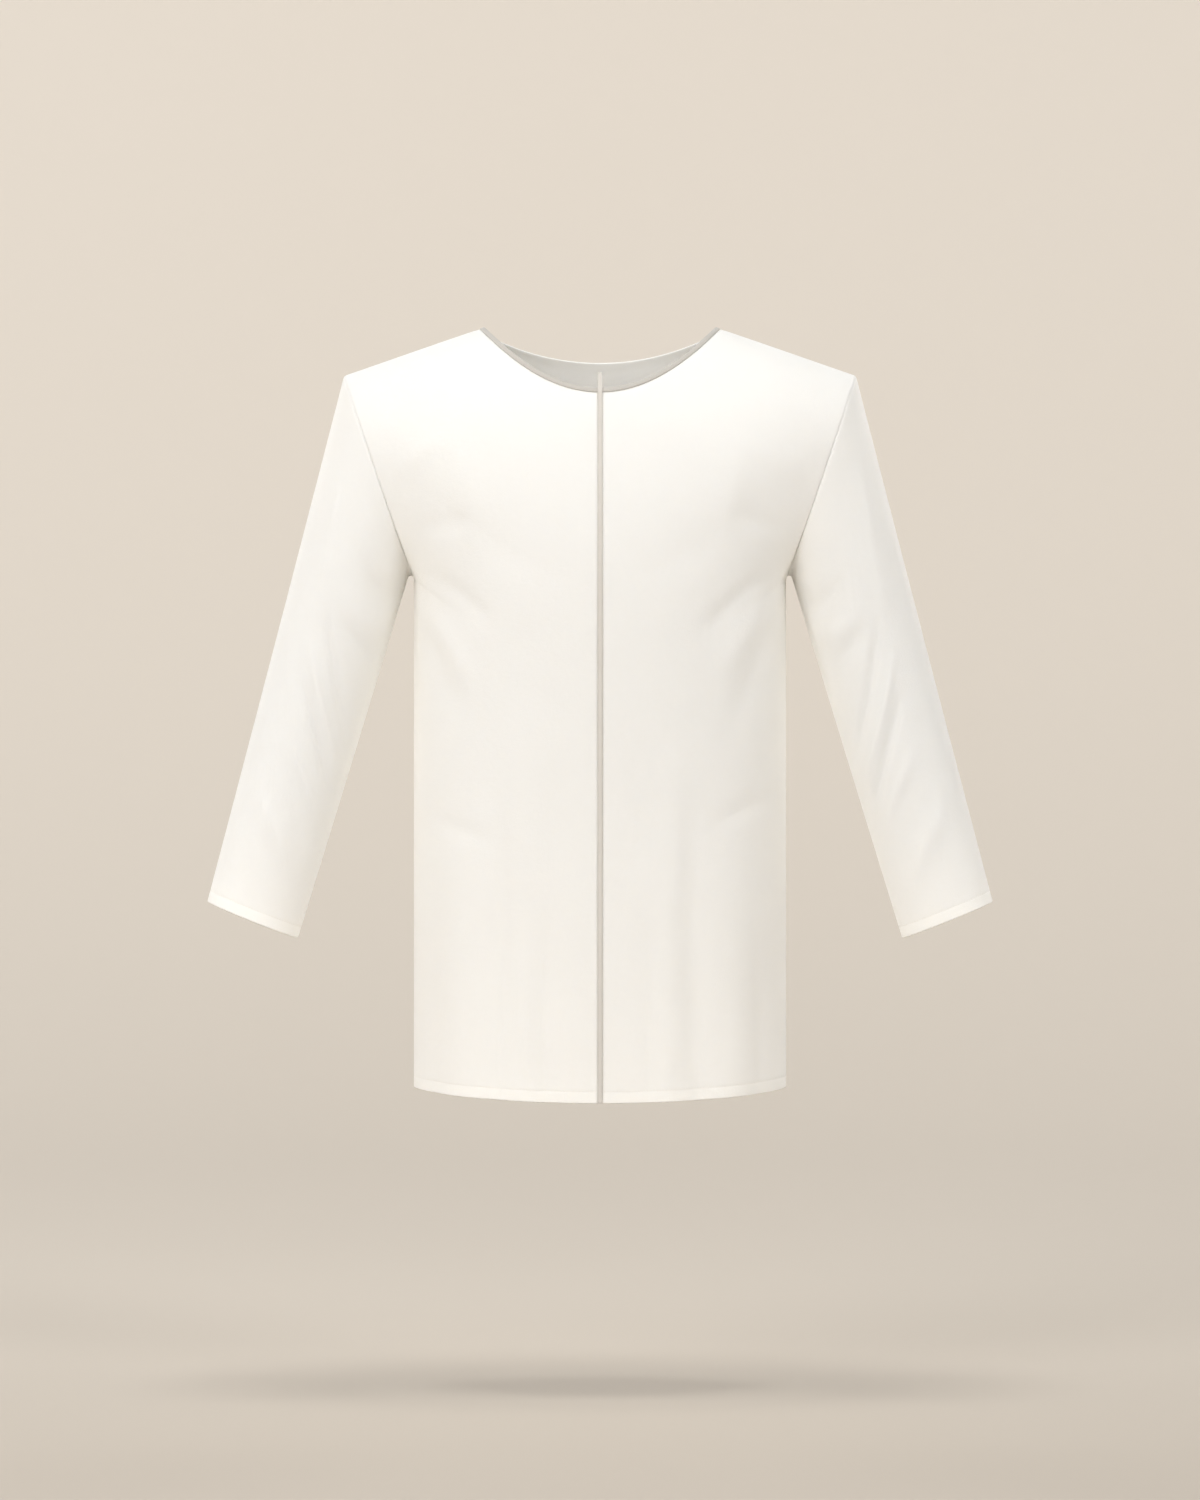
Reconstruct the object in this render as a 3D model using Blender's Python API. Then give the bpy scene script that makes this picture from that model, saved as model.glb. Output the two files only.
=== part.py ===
"""A round-neck long-sleeved blouse in its worn, hollow form, one cloth wall for each cut piece.

Metres, +Z up, front towards -Y. Height 0 is the shoulder seam at the neck. Each piece is a loft
between sections worked out from the sizes below: an outer face, and an inner face one wall inside it.
"""

import math

import bmesh
import bpy
import numpy as np

# Sizes of the garment, in metres: half widths from the centre line, drops below height 0
NECK_HALF_WIDTH = 0.114
SHOULDER_HALF_WIDTH = 0.243
SHOULDER_DROP = 0.0437
BODY_HALF_WIDTH = 0.1767
UNDERARM_DROP = 0.2365
HEM_DROP = 0.718
HEM_DIP = 0.0095
CUFF_OUTER = np.array([0.3705, -0.5415])
CUFF_INNER = np.array([0.2850, -0.5757])

# The cloth, its seams, the folded neckband and the front tape
WALL = 0.0015
SEAM_GAP = 0.0003
TAPE_THICKNESS = 0.0010
TRIM_WIDTH = 0.0048
NECKBAND_PROUD = 0.0003
TAPE_STUB = 0.0180

# Finishes: name, colour, roughness
CREPE = ("ivory_crepe", (0.93, 0.90, 0.84), 0.6)
TAPE = ("stone_tape", (0.67, 0.65, 0.60), 0.8)

# The armhole is an ellipse seen edge on from the front, drawn in a little at the underarm
ARMHOLE_HALF_DEPTH = 0.066
UNDERARM_SQUEEZE = 1.2
SQUEEZE_FADE = 3

# The sleeve turns over the underarm on a small arch, tapers, and hangs a little forward
ARCH_RADIUS = 0.003
ARCH_END = math.radians(163.3)
ARCH_SHIFT = 0.012
ARCH_REACH = math.radians(54)
CUFF_HALF_DEPTH = 0.038
SLEEVE_FORWARD = 0.034
SLEEVE_SWING = 1.8

# How the body section is rounded: handle lengths as shares of its half width and depth
WIDTH_HANDLE = 0.60
DEPTH_HANDLE = 0.60
YOKE_WIDTH_HANDLE = 0.080
YOKE_DEPTH_HANDLE = 0.070
VIRTUAL_RIDGE_RISE = 0.020

# Front and back bodice. Depth rows: height on the centre line, depth there.
FRONT = {
    "sign": -1.0,
    "neck_drop": 0.0646,
    "deepest": -0.240,
    "row_at_underarm": -0.315,
    "yoke_angle": math.radians(22),
    "depths": ((-0.730, 0.113), (-0.520, 0.116), (-0.240, 0.123)),
}
BACK = {
    "sign": 1.0,
    "neck_drop": 0.0269,
    "deepest": -0.205,
    "row_at_underarm": -0.300,
    "yoke_angle": math.radians(18),
    "depths": ((-0.730, 0.108), (-0.450, 0.101), (-0.205, 0.112)),
}

# Soft folds of the hanging cloth. Columns: place across at the hem, half width, depth, fading height.
FRONT_FOLDS = (
    (-0.128, 0.024, 0.0042, -0.330),
    (-0.071, 0.020, 0.0026, -0.430),
    (0.062, 0.021, 0.0030, -0.400),
    (0.124, 0.025, 0.0045, -0.310),
)
BACK_FOLDS = (
    (-0.118, 0.026, 0.0044, -0.320),
    (-0.045, 0.024, 0.0036, -0.380),
    (0.036, 0.022, 0.0030, -0.360),
    (0.113, 0.026, 0.0046, -0.300),
)

# Rows and columns of the lofts
SIDE_ROWS = 12
ARMHOLE_ROWS = 5
SHOULDER_ROWS = 7
NECK_COLUMNS = 8
SHOULDER_COLUMNS = 7
COLUMN_FAN = 3.0
NECK_CORRECTIONS = 60
ARCH_RINGS = 3
SLEEVE_RINGS = 14
TAPE_END_STEPS = 4
SHARP_ANGLE = math.radians(40)

# Small steps for slopes, the step down the sleeve that shows its way, and the mitre's least cosine
STEP = 1e-4
SLEEVE_WAY = 0.15
MITRE_LEAST = 0.6
COLUMNS = NECK_COLUMNS + SHOULDER_COLUMNS
UNDERARM = np.array([BODY_HALF_WIDTH, -UNDERARM_DROP])
SHOULDER_TIP = np.array([SHOULDER_HALF_WIDTH, -SHOULDER_DROP])
SHOULDER_SLOPE = SHOULDER_DROP / (SHOULDER_HALF_WIDTH - NECK_HALF_WIDTH)


def smooth(x):
    """0 below 0, 1 above 1, and an even S between."""
    x = np.clip(x, 0.0, 1.0)
    return x * x * (3 - 2 * x)


def smooth_table(x, rows):
    """Value at x from (x, value) rows, level at each row."""
    places = [r[0] for r in rows]
    values = [r[1] for r in rows]
    total = np.full(np.shape(x), values[0], float)
    for i in range(len(rows) - 1):
        share = smooth((x - places[i]) / (places[i + 1] - places[i]))
        total = total + (values[i + 1] - values[i]) * share
    return total


def unit(v):
    """Vectors of length 1 along v."""
    return v / np.linalg.norm(v, axis=-1, keepdims=True)


def armhole_height(angle):
    """Front view of the armhole: 0 at the underarm, pi at the shoulder tip."""
    share = (1 - np.cos(angle))[..., None] / 2
    return UNDERARM + share * (SHOULDER_TIP - UNDERARM)


def armhole_depth(angle):
    """How far the armhole stands off the side seam, drawn in below its middle."""
    sine = np.clip(np.sin(angle), 0, 1)
    return ARMHOLE_HALF_DEPTH * np.where(angle < math.pi / 2, sine**UNDERARM_SQUEEZE, sine)


def shoulder_height(x):
    """Height of the shoulder line, carried on as a low rise over the neck opening."""
    over_neck = VIRTUAL_RIDGE_RISE * (1 - (x / NECK_HALF_WIDTH) ** 2)
    return np.where(x < NECK_HALF_WIDTH, over_neck, -SHOULDER_SLOPE * (x - NECK_HALF_WIDTH))


def lower_body(face, s, t):
    """The bodice from hem (t 0) past the underarm (t 1) to the middle of the armhole (t 2).

    Each row is a cubic Bezier from the centre line (s 0) to the side seam or armhole (s 1).
    """
    to_underarm = np.clip(t, 0, 1)
    past_underarm = np.clip(t - 1, 0, 1)
    centre_low = -HEM_DROP - HEM_DIP
    centre = centre_low + (face["row_at_underarm"] - centre_low) * to_underarm
    centre = centre + (face["deepest"] - face["row_at_underarm"]) * past_underarm
    depth = smooth_table(centre, face["depths"])
    angle = math.pi / 2 * past_underarm**2
    edge = armhole_height(angle)
    edge_x = edge[..., 0]
    edge_z = edge[..., 1] - (HEM_DROP - UNDERARM_DROP) * (1 - to_underarm)
    edge_depth = armhole_depth(angle)
    turn = past_underarm**4 * (5 - 4 * past_underarm)
    heading = math.pi / 2 + (face["yoke_angle"] - math.pi / 2) * turn
    first = WIDTH_HANDLE * BODY_HALF_WIDTH * (1 - turn) + YOKE_WIDTH_HANDLE * turn
    last = DEPTH_HANDLE * (depth - edge_depth) * (1 - turn) + YOKE_DEPTH_HANDLE * turn
    b1, b2, b3 = 3 * s * (1 - s) ** 2, 3 * s * s * (1 - s), s**3
    x = b1 * first + b2 * (edge_x - last * np.cos(heading)) + b3 * edge_x
    out = (1 - b2 - b3) * depth + b2 * (edge_depth + last * np.sin(heading)) + b3 * edge_depth
    z = centre * (1 - b2 - b3) + edge_z * (b2 + b3)
    return np.stack([x, face["sign"] * out, z], axis=-1)


def upper_body(face, s, rise):
    """The bodice above t 2: each column s is a quarter turn, from the row at t 2 over to the ridge."""
    base = lower_body(face, s, np.full(np.shape(s), 2.0))
    ridge_x = base[..., 0] * SHOULDER_HALF_WIDTH / ((UNDERARM[0] + SHOULDER_TIP[0]) / 2)
    height = shoulder_height(ridge_x) - base[..., 2]
    weight = smooth(s)
    centre_rise = face["deepest"] - face["row_at_underarm"]
    edge_run, edge_rise = (SHOULDER_TIP - UNDERARM) * math.pi / 2
    start = height * weight * edge_run / (weight * edge_rise + (1 - weight) * centre_rise)
    swell = ridge_x - base[..., 0] - start
    x = base[..., 0] + start * np.sin(rise) + swell * (1 - np.cos(rise))
    y = base[..., 1] * np.cos(rise)
    z = base[..., 2] + height * np.sin(rise)
    return np.stack([x, y, z], axis=-1)


def top_columns(face):
    """Column and rise of each point of the top edge: neckline first, then the shoulder seam.

    The neckline is a parabola in the front view. Its columns are found by repeated correction.
    """
    x = NECK_HALF_WIDTH * np.sin(math.pi / 2 * np.arange(NECK_COLUMNS + 1) / NECK_COLUMNS)
    z = -face["neck_drop"] * (1 - (x / NECK_HALF_WIDTH) ** 2)
    s = x / SHOULDER_HALF_WIDTH
    for _ in range(NECK_CORRECTIONS):
        low = upper_body(face, s, np.zeros(len(s)))[:, 2]
        high = upper_body(face, s, np.full(len(s), math.pi / 2))[:, 2]
        rise = np.arcsin(np.clip((z - low) / (high - low), 0, 1))
        s = s + (x - upper_body(face, s, rise)[:, 0]) / SHOULDER_HALF_WIDTH
    outward = np.arange(1, SHOULDER_COLUMNS + 1) / SHOULDER_COLUMNS
    s = np.concatenate([s, s[-1] + (1 - s[-1]) * outward])
    rise = np.concatenate([rise, np.full(SHOULDER_COLUMNS, math.pi / 2)])
    return s, rise


def panel(face):
    """Points and outward normals of half the front or back: rows from hem up, columns from centre out."""
    rows = np.concatenate([np.linspace(0, 1, SIDE_ROWS + 1), armhole_rows()])
    t, s = np.meshgrid(rows, np.arange(COLUMNS + 1) / COLUMNS, indexing="ij")
    lower = lower_body(face, s, t)
    lower_out = normals(lambda u, v: lower_body(face, u, v), s, t, -face["sign"])
    top_s, top_rise = top_columns(face)
    share = (np.arange(1, SHOULDER_ROWS + 1) / SHOULDER_ROWS)[:, None]
    fanned = s[0] + (top_s - s[0]) * share**COLUMN_FAN
    rise = top_rise * share
    upper = upper_body(face, fanned, rise)
    upper_out = normals(lambda u, v: upper_body(face, u, v), fanned, rise, -face["sign"])
    points = np.concatenate([lower, upper])
    out = np.concatenate([lower_out, upper_out])
    slope = math.atan(SHOULDER_SLOPE)
    out[:, 0, 0] = 0
    out[: SIDE_ROWS + 1, -1] = (1, 0, 0)
    out[-1, NECK_COLUMNS:] = (math.sin(slope), 0, math.cos(slope))
    return points, unit(out)


def sleeve(angle, side, w):
    """The wearer's left sleeve. w 0 to 1 turns over the underarm, 1 to 2 runs to the cuff.

    Each ring is an ellipse on the line from the sleeve's inner to its outer edge, in the front view.
    """
    arch, run = np.clip(w, 0, 1), np.clip(w - 1, 0, 1)
    turned = arch * ARCH_END
    over = smooth(1 - angle / ARCH_REACH)
    along = arch * ARCH_SHIFT + run * (1 - ARCH_SHIFT)
    arch_x = UNDERARM[0] + ARCH_RADIUS * (1 - np.cos(turned))
    arch_z = UNDERARM[1] + ARCH_RADIUS * np.sin(turned)
    plain_x = UNDERARM[0] + (CUFF_INNER[0] - UNDERARM[0]) * along
    plain_z = UNDERARM[1] + (CUFF_INNER[1] - UNDERARM[1]) * along
    inner_x = plain_x + over * (arch_x + (CUFF_INNER[0] - arch_x) * run - plain_x)
    inner_z = plain_z + over * (arch_z + (CUFF_INNER[1] - arch_z) * run - plain_z)
    outer_x = SHOULDER_TIP[0] + (CUFF_OUTER[0] - SHOULDER_TIP[0]) * along
    outer_z = SHOULDER_TIP[1] + (CUFF_OUTER[1] - SHOULDER_TIP[1]) * along
    share = (1 - np.cos(angle)) / 2
    squeeze = 1 + (UNDERARM_SQUEEZE - 1) * (1 - smooth(SQUEEZE_FADE * run))
    sine = np.clip(np.sin(angle), 0, 1)
    section = np.where(angle < math.pi / 2, sine**squeeze, sine)
    half_depth = ARMHOLE_HALF_DEPTH + (CUFF_HALF_DEPTH - ARMHOLE_HALF_DEPTH) * run
    y = side * half_depth * section - SLEEVE_FORWARD * run**SLEEVE_SWING
    x = inner_x + (outer_x - inner_x) * share
    z = inner_z + (outer_z - inner_z) * share
    return np.stack([x, y, z], axis=-1)


def normals(surface, u, v, sign):
    """Outward unit normals of a two-parameter surface, from small steps along both parameters."""
    du = surface(u + STEP, v) - surface(u - STEP, v)
    dv = surface(u, v + STEP) - surface(u, v - STEP)
    return sign * unit(np.cross(du, dv))


def fold_height(folds, x, z):
    """How far soft folds stand off the cloth: Gaussian ridges that fade out upwards."""
    total = np.zeros(np.shape(x))
    for place, half_width, depth, fade in folds:
        across = np.exp(-(((x - place) / half_width) ** 2))
        total = total + depth * across * smooth((fade - z) / (HEM_DROP + fade))
    return total


def armhole_rows():
    """Row parameters from just above the underarm to the middle of the armhole, in even turns of it."""
    return 1 + np.sqrt(np.arange(1, ARMHOLE_ROWS + 1) / ARMHOLE_ROWS)


def armhole_angles():
    """Armhole angles of the bodice rows from underarm to shoulder tip."""
    lower = np.arange(ARMHOLE_ROWS + 1) / ARMHOLE_ROWS
    upper = 1 + np.arange(1, SHOULDER_ROWS + 1) / SHOULDER_ROWS
    return math.pi / 2 * np.concatenate([lower, upper])


def armhole_mitre(face):
    """Wall step and seam direction shared along the armhole, so that both walls end face to face."""
    angle = armhole_angles()
    body_normal = panel(face)[1][SIDE_ROWS:, -1]
    loop = sleeve(angle, face["sign"], np.zeros(len(angle)))
    away = sleeve(angle, face["sign"], np.full(len(angle), SLEEVE_WAY)) - loop
    tangent = np.gradient(loop, axis=0)
    tangent[0] = tangent[-1] = (0, face["sign"], 0)
    sleeve_normal = unit(np.cross(tangent, away))
    outward = np.sum(sleeve_normal * np.array([0, face["sign"], 0.0]), axis=1)
    sleeve_normal = sleeve_normal * np.where(outward < 0, -1, 1)[:, None]
    down_sleeve = unit(CUFF_OUTER - SHOULDER_TIP)
    sleeve_normal[0] = (1, 0, 0)
    sleeve_normal[-1] = (-down_sleeve[1], 0, down_sleeve[0])
    mitre = unit(body_normal + sleeve_normal)
    reach = WALL / np.clip(np.sum(mitre * body_normal, axis=1), MITRE_LEAST, 1)
    across = unit(np.cross(tangent, mitre))
    across = across * np.where(np.sum(across * away, axis=1) < 0, -1, 1)[:, None]
    across[0] = (0, 0, 1)
    return mitre * reach[:, None], across


def half_bodice(face, folds, mirrored):
    """Outer and inner lattices of half the front or back, with the folds and the seam gaps."""
    outer, out = panel(face)
    hand = -1.0 if mirrored else 1.0
    outer = outer + out * fold_height(folds, hand * outer[..., 0], outer[..., 2])[..., None]
    inner = outer - WALL * out
    wall_step, across = armhole_mitre(face)
    inner[SIDE_ROWS:, -1] = outer[SIDE_ROWS:, -1] - wall_step
    for grid in (outer, inner):
        grid[SIDE_ROWS:, -1] -= SEAM_GAP / 2 * across
        grid[: SIDE_ROWS + 1, -1, 1] += face["sign"] * SEAM_GAP / 2
        grid[-1, NECK_COLUMNS:, 1] += face["sign"] * SEAM_GAP / 2
        grid[..., 0] *= hand
    return outer, inner


def sleeve_grids():
    """Outer and inner rings of the wearer's left sleeve, front half then back half around each ring."""
    angle = armhole_angles()
    around = np.concatenate([angle[::-1], angle[1:-1]])
    side = np.concatenate([-np.ones(len(angle)), np.ones(len(angle) - 2)])
    rings = np.concatenate([np.arange(ARCH_RINGS) / ARCH_RINGS, 1 + np.linspace(0, 1, SLEEVE_RINGS + 1)])
    w, q = np.meshgrid(rings, np.arange(len(around)), indexing="ij")
    outer = sleeve(around[q], side[q], w)
    ring = np.roll(outer, -1, axis=1) - np.roll(outer, 1, axis=1)
    down = sleeve(around[q], side[q], w + STEP) - sleeve(around[q], side[q], w - STEP)
    out = unit(np.cross(ring, down))
    middle = outer[-1].mean(axis=0)
    if np.sum(out[-1] * (outer[-1] - middle)) < 0:
        out = -out
    inner = outer - WALL * out
    front_step, front_across = armhole_mitre(FRONT)
    back_step, back_across = armhole_mitre(BACK)
    inner[0] = outer[0] - np.concatenate([front_step[::-1], back_step[1:-1]])
    across = np.concatenate([front_across[::-1], back_across[1:-1]])
    for grid in (outer, inner):
        grid[0] += SEAM_GAP / 2 * across
    return outer, inner


def tape_rings():
    """Rings of the front tape: a flat strip up the centre front, past the neckband, to a free round end."""
    points, normal = panel(FRONT)
    spine, out = points[:, 0], normal[:, 0]
    up = unit(spine[-1] - spine[-2])
    radius = TRIM_WIDTH / 2
    past_neckband = spine[-1] + up * (TRIM_WIDTH + 2 * SEAM_GAP)
    stub = spine[-1] + up * (TRIM_WIDTH / 2 + TAPE_STUB - radius)
    turn = math.pi / 2 * np.arange(1, TAPE_END_STEPS + 1) / (TAPE_END_STEPS + 1)
    end = stub + up * radius * np.sin(turn)[:, None]
    spine = np.concatenate([spine, past_neckband[None], stub[None], end])
    out = np.concatenate([out, np.repeat(out[-1:], len(spine) - len(out), axis=0)])
    lift = np.full(len(spine), SEAM_GAP + NECKBAND_PROUD)
    lift[: len(points) - 1] = SEAM_GAP
    half = np.full(len(spine), radius)
    half[-TAPE_END_STEPS:] = radius * np.cos(turn)
    corners = ((-1, 0), (1, 0), (1, 1), (-1, 1))
    rings = [
        spine + out * (lift + raised * TAPE_THICKNESS)[:, None] + half[:, None] * np.array([[side, 0, 0]])
        for side, raised in corners
    ]
    return np.stack(rings, axis=1)


def neckband_rings():
    """Rings of the neckband: a folded strip carrying the front on past its neck edge, seam to seam."""
    points, normal = panel(FRONT)
    edge, out = points[-1, : NECK_COLUMNS + 1].copy(), normal[-1, : NECK_COLUMNS + 1]
    tangent = np.gradient(edge, axis=0)
    tangent[0] = (1, 0, 0)
    tangent[-1] = (0, 1, 0)
    over = unit(np.cross(out, tangent))
    edge[-1, 1] -= SEAM_GAP / 2
    far = SEAM_GAP + TRIM_WIDTH
    outside, inside = NECKBAND_PROUD, -WALL - NECKBAND_PROUD
    corners = ((SEAM_GAP, outside), (far, outside), (far, inside), (SEAM_GAP, inside))
    rings = np.stack([edge + over * a + out * b for a, b in corners], axis=1)
    return np.concatenate([rings[:0:-1] * np.array([-1, 1, 1]), rings])


def material(piece, finish):
    """A piece's own plain finish."""
    name, colour, roughness = finish
    made = bpy.data.materials.new(piece + "_" + name)
    made.use_nodes = True
    shader = made.node_tree.nodes["Principled BSDF"]
    shader.inputs["Base Color"].default_value = (*colour, 1)
    shader.inputs["Roughness"].default_value = roughness
    shader.inputs["Metallic"].default_value = 0
    made.diffuse_color = (*colour, 1)
    return made


def quads_between(index):
    """Quads between neighbouring rows and columns of a grid of vertex numbers."""
    corners = (index[:-1, :-1], index[:-1, 1:], index[1:, 1:], index[1:, :-1])
    return np.stack(corners, axis=-1).reshape(-1, 4)


def halved(quads, first_way):
    """Two triangles for each quad, cut from corner 0 to 2 where first_way is true, else from 1 to 3."""
    one = quads[:, [0, 1, 2, 0, 2, 3]]
    other = quads[:, [0, 1, 3, 1, 2, 3]]
    return np.where(first_way[:, None], one, other).reshape(-1, 3)


def add_piece(name, points, faces, finish, collection):
    """One closed mesh as a named object of the collection, faces outwards."""
    mesh = bpy.data.meshes.new(name)
    mesh.from_pydata(points.tolist(), [], faces)
    bm = bmesh.new()
    bm.from_mesh(mesh)
    bmesh.ops.recalc_face_normals(bm, faces=bm.faces)
    bm.to_mesh(mesh)
    bm.free()
    mesh.shade_smooth()
    mesh.set_sharp_from_angle(angle=SHARP_ANGLE)
    mesh.materials.append(material(name, finish))
    collection.objects.link(bpy.data.objects.new(name, mesh))


def add_wall(name, outer, inner, closed, finish, collection):
    """A cloth wall between an outer and an inner lattice, closed with a rim along every open edge.

    Both lattices share the shorter diagonal of the outer one. A rim is cut from the higher outer
    corner, so that the rims on both sides of a seam match.
    """
    rows, columns = outer.shape[:2]
    points = np.concatenate([outer.reshape(-1, 3), inner.reshape(-1, 3)])
    outside = np.arange(rows * columns).reshape(rows, columns)
    if closed:
        outside = np.concatenate([outside, outside[:, :1]], axis=1)
    inside = outside + rows * columns
    quads = quads_between(outside)
    corner = points[quads]
    diagonals = np.linalg.norm(corner[:, :2] - corner[:, 2:], axis=2)
    shorter = diagonals[:, 0] <= diagonals[:, 1]
    faces = [halved(quads, shorter), halved(quads + rows * columns, shorter)]
    edges = [(outside[0], inside[0]), (outside[-1], inside[-1])]
    if not closed:
        edges += [(outside[:, 0], inside[:, 0]), (outside[:, -1], inside[:, -1])]
    for pair in edges:
        rim = quads_between(np.stack(pair))
        faces.append(halved(rim, points[rim[:, 0], 2] > points[rim[:, 1], 2]))
    add_piece(name, points, np.concatenate(faces).tolist(), finish, collection)


def add_strip(name, rings, finish, collection):
    """A trim swept through rings of like corners and capped at both ends."""
    count, corners = rings.shape[:2]
    index = np.arange(count * corners).reshape(count, corners)
    around = np.concatenate([index, index[:, :1]], axis=1)
    faces = quads_between(around).tolist() + [index[0].tolist(), index[-1].tolist()]
    add_piece(name, rings.reshape(-1, 3), faces, finish, collection)


def build():
    """Makes every piece of the blouse."""
    for old in list(bpy.data.objects):
        bpy.data.objects.remove(old)
    collection = bpy.data.collections.new("round_neck_blouse")
    bpy.context.scene.collection.children.link(collection)

    for name, mirrored in (("front_left", False), ("front_right", True)):
        outer, inner = half_bodice(FRONT, FRONT_FOLDS, mirrored)
        hand = -1.0 if mirrored else 1.0
        for grid in (outer, inner):
            grid[:, 0, 0] += hand * SEAM_GAP / 2
        add_wall(name, outer, inner, False, CREPE, collection)

    left, right = half_bodice(BACK, BACK_FOLDS, False), half_bodice(BACK, BACK_FOLDS, True)
    outer, inner = (np.concatenate([r[:, :0:-1], g], axis=1) for g, r in zip(left, right))
    add_wall("back", outer, inner, False, CREPE, collection)

    outer, inner = sleeve_grids()
    flip = np.array([-1, 1, 1])
    add_wall("sleeve_left", outer, inner, True, CREPE, collection)
    add_wall("sleeve_right", outer * flip, inner * flip, True, CREPE, collection)

    add_strip("front_tape", tape_rings(), TAPE, collection)
    add_strip("neckband", neckband_rings(), TAPE, collection)


build()
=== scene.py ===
"""The round-neck blouse as sewn cloth: two fronts, a back, two sleeves, a neckband and a front tape.

Metres, +Z up, front towards -Y, height 0 at the shoulder seam by the neck. Each piece is a thin shell on
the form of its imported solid, and is filled out as if worn.
"""

import math

import bmesh
import bpy
import numpy as np
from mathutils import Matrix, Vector


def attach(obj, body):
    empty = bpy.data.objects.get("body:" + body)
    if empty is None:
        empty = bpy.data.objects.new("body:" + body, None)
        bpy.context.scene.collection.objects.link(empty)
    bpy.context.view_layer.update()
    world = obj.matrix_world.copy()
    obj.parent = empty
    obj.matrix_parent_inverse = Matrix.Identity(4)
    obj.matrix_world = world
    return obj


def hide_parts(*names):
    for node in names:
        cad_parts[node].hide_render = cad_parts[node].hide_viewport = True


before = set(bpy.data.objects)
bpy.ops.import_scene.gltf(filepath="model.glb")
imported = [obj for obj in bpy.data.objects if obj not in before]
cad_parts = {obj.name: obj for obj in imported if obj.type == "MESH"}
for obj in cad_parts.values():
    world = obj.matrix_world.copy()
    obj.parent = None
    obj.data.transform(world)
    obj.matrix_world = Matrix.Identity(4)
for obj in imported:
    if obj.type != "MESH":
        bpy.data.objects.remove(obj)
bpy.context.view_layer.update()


# The two fronts: one piece of ivory crepe each, cut from centre front to side seam and from shoulder
# to hem. The seams are plain and pressed, and the hem is turned twice and stitched once.

# Cut of the front view: half widths, and drops below the neck point of the shoulder
NECK_HALF_WIDTH = 0.114
SHOULDER_HALF_WIDTH = 0.243
SHOULDER_DROP = 0.0437
BODY_HALF_WIDTH = 0.1767
UNDERARM_DROP = 0.2365
HEM_DROP = 0.718
HEM_DIP = 0.0095
CUFF_OUTER = np.array([0.3705, -0.5415])
CUFF_INNER = np.array([0.2850, -0.5757])
UNDERARM = np.array([BODY_HALF_WIDTH, -UNDERARM_DROP])
SHOULDER_TIP = np.array([SHOULDER_HALF_WIDTH, -SHOULDER_DROP])
SHOULDER_SLOPE = SHOULDER_DROP / (SHOULDER_HALF_WIDTH - NECK_HALF_WIDTH)

# Depths front to back, and the small arch of the sleeve under the arm
ARMHOLE_HALF_DEPTH = 0.066
UNDERARM_SQUEEZE = 1.2
ARCH_RADIUS = 0.003
ARCH_END = math.radians(163.3)
ARCH_SHIFT = 0.012
ARCH_REACH = math.radians(54)
CUFF_HALF_DEPTH = 0.038
SLEEVE_FORWARD = 0.034
SLEEVE_SWING = 1.8

# Handles of the curve round the body, as shares below the arm and as lengths at the yoke
WIDTH_HANDLE = 0.60
DEPTH_HANDLE = 0.60
YOKE_WIDTH_HANDLE = 0.080
YOKE_DEPTH_HANDLE = 0.070
RIDGE_RISE_OVER_NECK = 0.020
COLUMN_FAN = 3.0
NECKLINE_PASSES = 60
SLOPE_STEP = 1e-4

# Cloth and sewing: thickness, extra thickness of a turning, sunk seams, stitch line above the edge
CLOTH = 0.0011
TURNED = 0.0005
TURNING_EDGE = 0.001
NECK_TURNING = 0.005
FOLDED_EDGE_BULGE = 0.0006
SEAM_DIP = 0.0006
SEAM_SPREAD = 0.0013
SEAM_HALF_GAP = 0.00004
CENTRE_HALF_GAP = 0.00005
MITRE_LOOK_AHEAD = 0.15
MITRE_LIMIT = 0.6
MITRE_SMOOTHINGS = 3
PUCKER = 0.25
PUCKER_WAVES = (2 * math.pi / 0.013, 71)
STITCH_LINE = 0.0105
STITCH_DENT = 0.00022
STITCH_SPREAD = 0.0008

# Where creases fade out: near seams, from the tape's edge outwards, and over this share of their length
SEAM_CALM = 0.016
TAPE_CALM = 0.004
TAPE_FADE = 0.014
CREASE_FADE = 0.4

FRONT = {
    "sign": -1.0,
    "neck_drop": 0.0646,
    "deepest": -0.240,
    "row_at_underarm": -0.315,
    "yoke_angle": math.radians(22),
    "depths": ((-0.730, 0.113), (-0.520, 0.116), (-0.240, 0.123)),
}
# Folds of the hanging cloth: place across at the hem, half width, depth, height where they fade out
FRONT_FOLDS = (
    (-0.128, 0.024, 0.0042, -0.330),
    (-0.071, 0.020, 0.0026, -0.430),
    (0.062, 0.021, 0.0030, -0.400),
    (0.124, 0.025, 0.0045, -0.310),
)
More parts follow.
